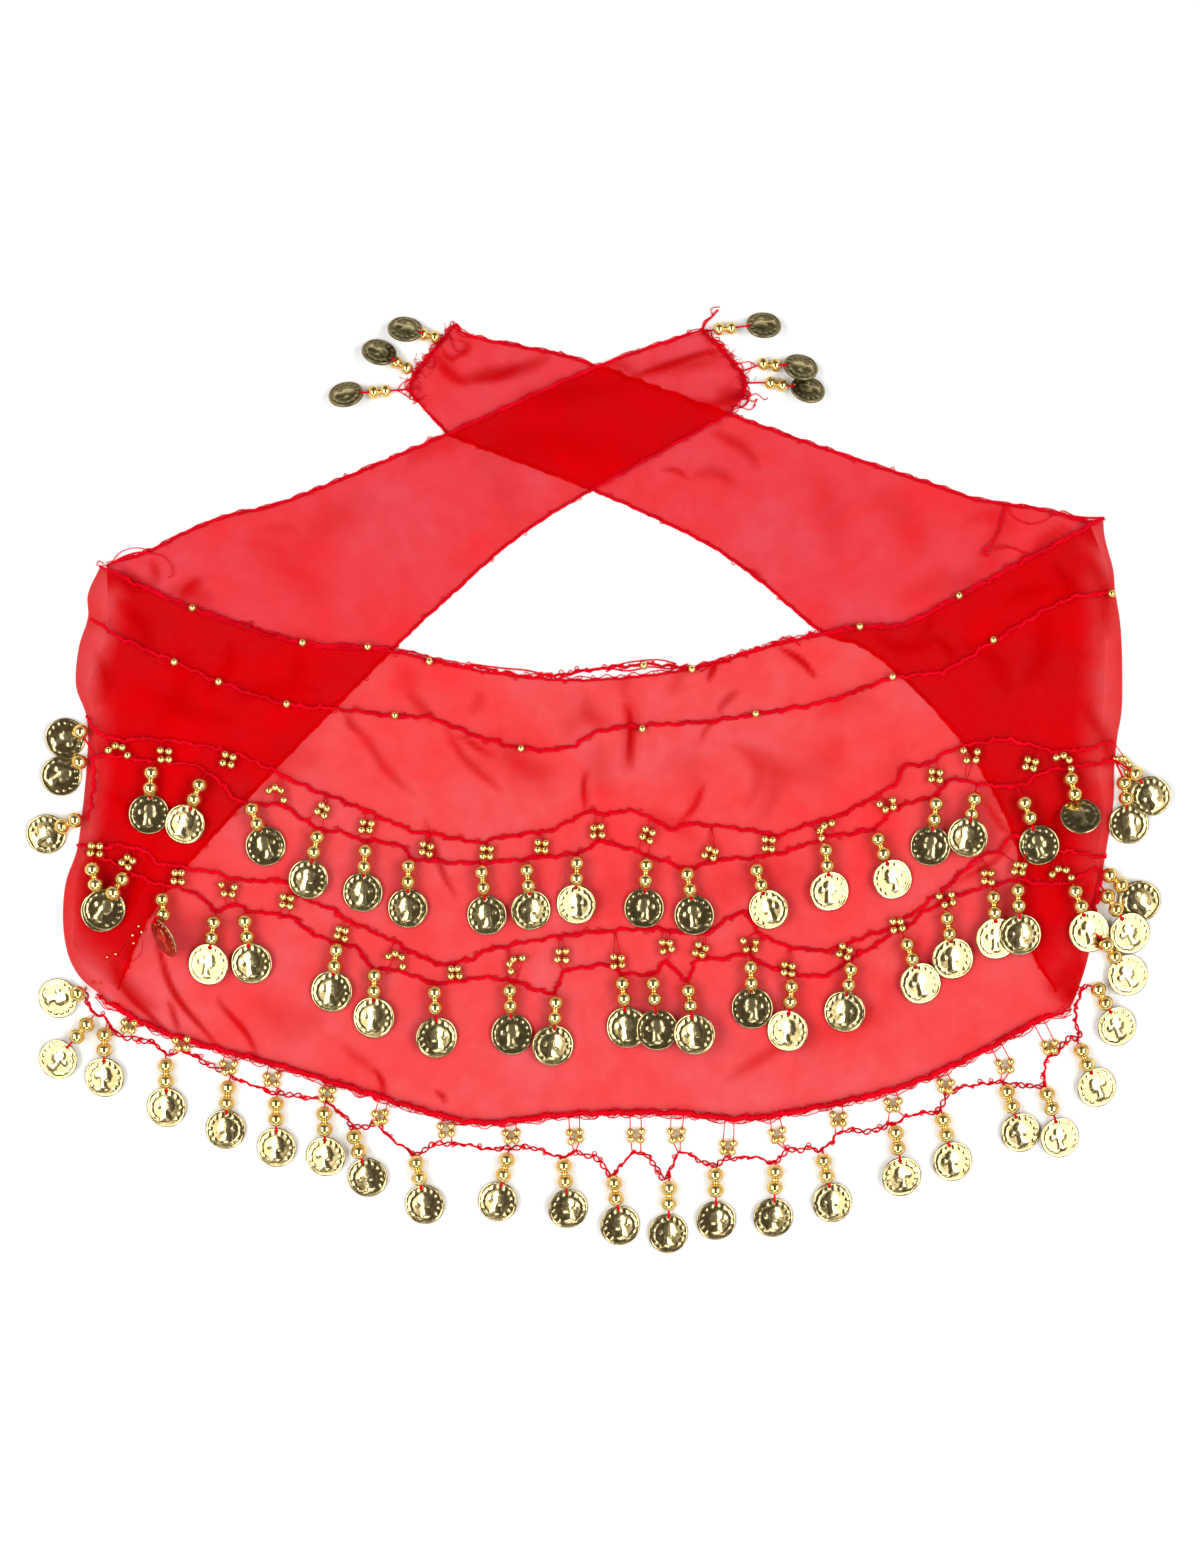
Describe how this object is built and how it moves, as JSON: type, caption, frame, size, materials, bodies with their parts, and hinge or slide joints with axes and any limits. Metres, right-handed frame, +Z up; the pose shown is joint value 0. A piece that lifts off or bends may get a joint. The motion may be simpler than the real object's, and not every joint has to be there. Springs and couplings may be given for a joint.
{
  "type": "coin belt laid flat",
  "caption": "Sheer red hip scarf laid flat, its ends folded behind and crossed, with crocheted lines and rows of gold bead and coin pendants.",
  "frame": {"origin": "centre of the bounding box's bottom, on the surface that the belt lies on", "axes": "+X along the belt, to the right as seen from above; +Y from the hem to the waist and the crossed ends; +Z up from the surface"},
  "size_m": [0.571, 0.471, 0.022],
  "materials": {
    "chiffon": "sheer plain weave, soft sheen",
    "crochet_thread": "matte twisted thread",
    "coins": "stamped, bright plated",
    "beads": "gold plated, glossy"
  },
  "bodies": {
    "root": {"body_panel": "chiffon", "tail_left": "chiffon", "tail_right": "chiffon", "top_edging": "crochet_thread", "hem_edging": "crochet_thread", "bead_string": "crochet_thread", "row_1_string": "crochet_thread", "row_2_string": "crochet_thread", "row_1_fringe": "coins", "row_2_fringe": "coins", "hem_fringe": "coins", "tail_right_fringe": "coins", "tail_left_fringe": "coins"}
  },
  "joints": []
}
